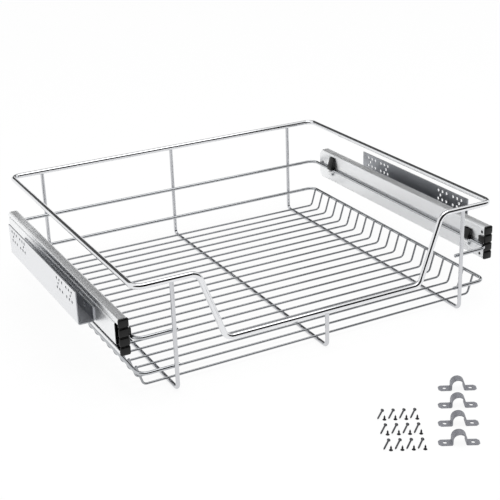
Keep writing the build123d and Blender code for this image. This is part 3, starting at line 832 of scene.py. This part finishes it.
def prism(name, outline, ends):
    """A solid of one outline of (x, z) points all the way along."""
    solid = start_point(name, (outline[0][0], ends[0], outline[0][1]))
    for before, after in zip(outline, outline[1:]):
        lift_selected((after[0] - before[0], 0, after[1] - before[1]))
    bpy.ops.mesh.select_all(action="SELECT")
    bpy.ops.mesh.edge_face_add()
    lift_selected((0, ends[1] - ends[0], 0))
    bpy.ops.mesh.select_all(action="SELECT")
    bpy.ops.mesh.normals_make_consistent(inside=False)
    bpy.ops.object.mode_set(mode="OBJECT")
    return solid


keeper_zinc = satin_zinc("zinc_plated_keeper_tab", RAIL_ZINC, roughness=0.3)
tab_foot = ring_z + RING_WIRE / 2 + KEEPER_TAB_LIFT
for part_name, tab_length in (("front_clip", 0.0), ("rear_clip", KEEPER_TAB_LENGTH)):
    low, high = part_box("right_" + part_name)
    clip = prism(part_name, [
        (web_x, low.z), (web_x, high.z), (web_x - CLIP_WALL, high.z), (low.x, ring_z + RING_WIRE),
        (low.x, low.z)], (low.y, high.y - tab_length))
    trim(clip, (0, low.y, high.z - CLIP_NOSE_DROP), (0, -CLIP_NOSE_DROP, CLIP_NOSE_LENGTH))
    punch(
        clip, [(web_x - RING_WIRE / 2, (low.y + high.y) / 2, ring_z)], RING_BORE,
        FRONT_TO_BACK, RING_BORE_DEPTH)
    soften(clip, CLIP_EDGE, segments=2)
    add_pair(clip, part_name, "basket", black_plastic)
    if tab_length:
        for sign in (-1, 1):
            edges = sorted((sign * web_x, sign * (web_x - RAIL_SHEET)))
            tab = rounded_block(
                "keeper_tab", (edges[0], high.y - tab_length + KEEPER_TAB_GAP, tab_foot),
                (edges[1], high.y, high.z), KEEPER_TAB_EDGE, segments=1)
            give_finish(tab, keeper_zinc)
            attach(tab, "basket")

# ---- Saddle clamps --------------------------------------------------------------------
# Four loose clamps, pressed from dull zinc plated strip with an arch for a tube and a
# screw hole in each ear.  They lie on the floor in front of the basket.

FIXINGS_TURN = math.radians(-28.2)
CLAMP_LENGTH = 0.043
CLAMP_STRAP = 0.011
CLAMP_SHEET = 0.0012
CLAMP_ARCH = 0.0072
CLAMP_HEIGHT = 0.0138
CLAMP_BEND = 0.0014
CLAMP_HOLE = 0.0044
CLAMP_CORNER = 0.0026
CLAMP_EDGE = 0.00015
STRAIGHT_DOWN = (0, 0, 0)
CLAMP_ZINC = "#999aa0"
PLATING_GRAIN_MM = 0.7143
CLAMP_COUNT = 4
FIRST_CLAMP = (0.0725, -0.380)
CLAMP_STEP = (-0.0228, -0.0303)


def dull_zinc(name, colour):
    """Thick dull plating on small fixings: flat and blue-grey, with a grain from the barrel.

    The grain is drawn at 0.7 mm, some three times its real size, so that it shows.
    """
    finish, tree, shader = new_finish(
        name, Base_Color=hex_colour(colour), Metallic=0.75, Roughness=0.55)
    place = add_node(tree, "ShaderNodeTexCoord").outputs["Object"]
    grain = add_node(
        tree, "ShaderNodeTexNoise", {"Scale": noise_scale(PLATING_GRAIN_MM), "Detail": 2},
        {"Vector": place})
    bump = add_node(
        tree, "ShaderNodeBump", {"Strength": 0.2, "Distance": 0.0001},
        {"Height": grain.outputs["Fac"]})
    tree.links.new(bump.outputs["Normal"], shader.inputs["Normal"])
    return finish


clamp_leg = CLAMP_HEIGHT - CLAMP_SHEET / 2 - CLAMP_ARCH
ear_z = CLAMP_SHEET / 2
foot_x = CLAMP_ARCH + CLAMP_BEND
ear_end_x = CLAMP_LENGTH / 2
half_strap = CLAMP_STRAP / 2
clamp = rolled_strip(
    "saddle_clamp", CLAMP_SHEET, (-half_strap, half_strap), 0, (ear_end_x, ear_z),
    [(foot_x, ear_z), (foot_x, ear_z + CLAMP_BEND, -90), (CLAMP_ARCH, clamp_leg),
     (0, clamp_leg, 180), (-CLAMP_ARCH, ear_z + CLAMP_BEND),
     (-foot_x, ear_z + CLAMP_BEND, -90), (-ear_end_x, ear_z)])
for end in (-1, 1):
    for edge in (-1, 1):
        corner_cut = (end * ear_end_x, edge * (half_strap - CLAMP_CORNER), 0)
        trim(clamp, corner_cut, (end, edge, 0))
ear_hole_x = (ear_end_x + CLAMP_ARCH + CLAMP_SHEET / 2) / 2
punch(clamp, [(-ear_hole_x, 0, ear_z), (ear_hole_x, 0, ear_z)], CLAMP_HOLE, STRAIGHT_DOWN)
soften(clamp, CLAMP_EDGE)


def set_out(piece, places, name, turn=FIXINGS_TURN):
    """Copies of one fixing, each turned and moved to its place, as one object."""
    copies = []
    for place in places:
        copied = piece.copy()
        copied.data = piece.data.copy()
        bpy.context.collection.objects.link(copied)
        copied.data.transform(Matrix.Translation(place) @ Matrix.Rotation(turn, 4, "Z"))
        copies.append(copied)
    bpy.data.objects.remove(piece)
    return join_selected(copies, name)


clamps = set_out(clamp, [
    (FIRST_CLAMP[0] + count * CLAMP_STEP[0], FIRST_CLAMP[1] + count * CLAMP_STEP[1], 0)
    for count in range(CLAMP_COUNT)], "saddle_clamps_pressed")
give_finish(clamps, dull_zinc("dull_zinc_clamp", CLAMP_ZINC))
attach(clamps, "basket")
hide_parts("saddle_clamps")

# ---- Screws ---------------------------------------------------------------------------
# Twelve long and twelve short countersunk screws of dark plated steel, laid out in pairs.
# The long ones lie on the floor, and the short ones stand on their heads.

SCREWS_CENTRE = (-0.0344, -0.4196)
SCREW_PITCH = (0.0118, 0.030)
LONG_LENGTH = 0.020
LONG_RADIUS = 0.001
LONG_HEAD = 0.002
LONG_HEAD_HEIGHT = 0.002
LONG_TURN = math.radians(-21.7)
LONG_STEEL = "#5c5d60"
SHORT_LENGTH = 0.006
SHORT_RADIUS = 0.0011
SHORT_HEAD = 0.0022
SHORT_HEAD_HEIGHT = 0.0016
SHORT_OFFSET = (0.0041, -0.0074)
SHORT_STEEL = "#3c3c3f"
HEAD_LIP = 0.0002
POINT_LENGTH = 0.002
THREAD_PITCH = 0.0009
THREAD_DEPTH = 0.0002
RECESS_REACH = 0.0012
RECESS_HALF_WIDTH = 0.00025
RECESS_DEPTH = 0.0008
RECESS_EDGE = 0.00005


def screw_profile(length, shank, head, head_height):
    """A countersunk head, a plain neck, the thread's crests and roots, and a point."""
    profile = [
        (0, 0), (0, head - HEAD_LIP), (HEAD_LIP, head), (head_height, shank - THREAD_DEPTH / 2)]
    thread_start = head_height + THREAD_PITCH / 2
    turns = int((length - POINT_LENGTH - thread_start) / THREAD_PITCH)
    for turn in range(turns):
        reached = thread_start + turn * THREAD_PITCH
        profile += [(reached, shank - THREAD_DEPTH), (reached + THREAD_PITCH / 2, shank)]
    profile += [(length - POINT_LENGTH, shank - THREAD_DEPTH), (length, 0)]
    return profile


def cross_recess(screw, foot, axis):
    """The recess for a cross-head driver, cut into the head."""
    corner = Vector((RECESS_REACH, RECESS_HALF_WIDTH, RECESS_DEPTH))
    for turn in (0, math.pi / 2):
        slot = rounded_block("slot", -corner, corner, RECESS_EDGE, segments=1)
        slot.data.transform(
            Matrix.Translation(foot) @ axis.to_track_quat("Z", "Y").to_matrix().to_4x4()
            @ Matrix.Rotation(turn, 4, "Z"))
        combine(screw, slot, "DIFFERENCE")


columns, rows = range(-3, 4, 2), range(-1, 2)
setting = Matrix.Rotation(FIXINGS_TURN, 3, "Z")
cells = [
    Vector((*SCREWS_CENTRE, 0))
    + setting @ Vector((column / 2 * SCREW_PITCH[0], row * SCREW_PITCH[1], 0))
    for column in columns for row in rows]
lie = Matrix.Rotation(LONG_TURN, 3, "Z") @ Vector((0, -1, 0))
long_head = -lie * LONG_LENGTH / 2 + Vector((0, 0, LONG_HEAD))
long_screw = turned(
    "long_screw", long_head, lie,
    screw_profile(LONG_LENGTH, LONG_RADIUS, LONG_HEAD, LONG_HEAD_HEIGHT), sides=20)
cross_recess(long_screw, long_head, lie)
long_screws = set_out(long_screw, cells, "long_screws_turned")
give_finish(long_screws, dull_zinc("dark_plated_long_screw", LONG_STEEL))
short_screw = turned(
    "short_screw", (0, 0, 0), (0, 0, 1),
    screw_profile(SHORT_LENGTH, SHORT_RADIUS, SHORT_HEAD, SHORT_HEAD_HEIGHT), sides=20)
short_offset = setting @ Vector((*SHORT_OFFSET, 0))
short_screws = set_out(short_screw, [cell + short_offset for cell in cells], "short_screws_turned")
give_finish(short_screws, dull_zinc("dark_plated_short_screw", SHORT_STEEL))
for screws, node_name in ((long_screws, "long_screws"), (short_screws, "short_screws")):
    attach(screws, "basket")
    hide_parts(node_name)

# ---- Studio ---------------------------------------------------------------------------
# A white floor and a white room, one soft light overhead, and dark cards out of sight in
# front and behind, which give bright metal its dark lines.

FLOOR_SIZE = 40.0
FLOOR_WHITE = "#f2f2f2"
FLOOR_GLOW = 0.86
FLOOR_GLOW_STRENGTH = 1.03
ROOM_LIGHT = 0.80
FRONT_CARD_PAINT = "#060606"
BACK_CARD_PAINT = "#585858"
SOFTBOX_PLACE = (0.2, -0.3, 1.9)
SOFTBOX_SIZE = (1.6, 1.2)
SOFTBOX_WATTS = 9


def seen_or_mirrored(tree):
    """A socket of 1 where the camera or a shiny surface looks straight at this, and else 0."""
    rays = add_node(tree, "ShaderNodeLightPath").outputs
    either = add_node(
        tree, "ShaderNodeMath", {}, {0: rays["Is Camera Ray"], 1: rays["Is Glossy Ray"]},
        operation="MAXIMUM")
    return either.outputs["Value"]


bpy.ops.object.select_all(action="DESELECT")
bpy.ops.mesh.primitive_plane_add(size=FLOOR_SIZE, location=(0, 0, 0))
floor = bpy.context.object
floor.name = "studio_floor"
floor_finish, tree, shader = new_finish(
    "white_floor", Base_Color=hex_colour(FLOOR_WHITE), Roughness=0.9)
glow_share = add_node(
    tree, "ShaderNodeMath", {1: FLOOR_GLOW}, {0: seen_or_mirrored(tree)}, operation="MULTIPLY")
glow = add_node(tree, "ShaderNodeEmission", {"Strength": FLOOR_GLOW_STRENGTH})
mixed = add_node(
    tree, "ShaderNodeMixShader", {},
    {0: glow_share.outputs["Value"], 1: shader.outputs["BSDF"], 2: glow.outputs["Emission"]})
tree.links.new(mixed.outputs["Shader"], tree.nodes["Material Output"].inputs["Surface"])
give_finish(floor, floor_finish)

world = bpy.data.worlds.new("white_room")
bpy.context.scene.world = world
world.use_nodes = True
tree = world.node_tree
strength = add_node(
    tree, "ShaderNodeMapRange", {"To Min": ROOM_LIGHT, "To Max": 1.0},
    {"Value": seen_or_mirrored(tree)})
tree.links.new(strength.outputs["Result"], tree.nodes["Background"].inputs["Strength"])
tree.nodes["Background"].inputs["Color"].default_value = (1, 1, 1, 1)


def dark_card(name, low, high, y, colour):
    """A sheet of dark card across the room, which shows only in mirror-bright metal."""
    bpy.ops.object.select_all(action="DESELECT")
    middle = ((low[0] + high[0]) / 2, y, (low[1] + high[1]) / 2)
    bpy.ops.mesh.primitive_plane_add(size=1, location=middle, rotation=(math.pi / 2, 0, 0))
    card = bpy.context.object
    card.name = name
    card.scale = (high[0] - low[0], high[1] - low[1], 1)
    bpy.ops.object.transform_apply(location=True, rotation=True, scale=True)
    card.visible_camera = False
    card.visible_diffuse = False
    card.visible_shadow = False
    paint = new_finish(name + "_paint", Base_Color=hex_colour(colour), Roughness=1.0)[0]
    give_finish(card, paint)


dark_card("front_card", (-8.0, 0.0), (8.0, 2.9), -1.6, FRONT_CARD_PAINT)
dark_card("back_card", (-1.75, 0.95), (8.0, 3.2), 3.0, BACK_CARD_PAINT)

bpy.ops.object.light_add(type="AREA", location=SOFTBOX_PLACE)
softbox = bpy.context.object
softbox.name = "overhead_softbox"
softbox.data.shape = "RECTANGLE"
softbox.data.size, softbox.data.size_y = SOFTBOX_SIZE
softbox.data.energy = SOFTBOX_WATTS

# ---- Camera ---------------------------------------------------------------------------
# The photograph's viewpoint: to the front and left of the basket, looking 23 degrees down
# at it through a long lens.  The angles are in radians, and the place in metres.

CAMERA_PLACE = (-0.6447, -1.26132, 0.64259)
CAMERA_AZIMUTH = 0.48062
CAMERA_DOWN = 0.39540
CAMERA_ROLL = -0.0344
CAMERA_LENS = 81.253
SENSOR_WIDTH = 36.0
FARTHEST_SEEN = 100
ahead = Vector((
    math.sin(CAMERA_AZIMUTH) * math.cos(CAMERA_DOWN),
    math.cos(CAMERA_AZIMUTH) * math.cos(CAMERA_DOWN), -math.sin(CAMERA_DOWN)))
level_right = Vector((math.cos(CAMERA_AZIMUTH), -math.sin(CAMERA_AZIMUTH), 0))
level_up = level_right.cross(ahead)
right = math.cos(CAMERA_ROLL) * level_right + math.sin(CAMERA_ROLL) * level_up
up = math.cos(CAMERA_ROLL) * level_up - math.sin(CAMERA_ROLL) * level_right
bpy.ops.object.camera_add()
camera = bpy.context.object
camera.matrix_world = Matrix((right, up, -ahead)).transposed().to_4x4()
camera.location = CAMERA_PLACE
camera.data.sensor_width = SENSOR_WIDTH
camera.data.lens = CAMERA_LENS
camera.data.clip_end = FARTHEST_SEEN
bpy.context.scene.camera = camera
bpy.context.scene.view_settings.view_transform = "Standard"
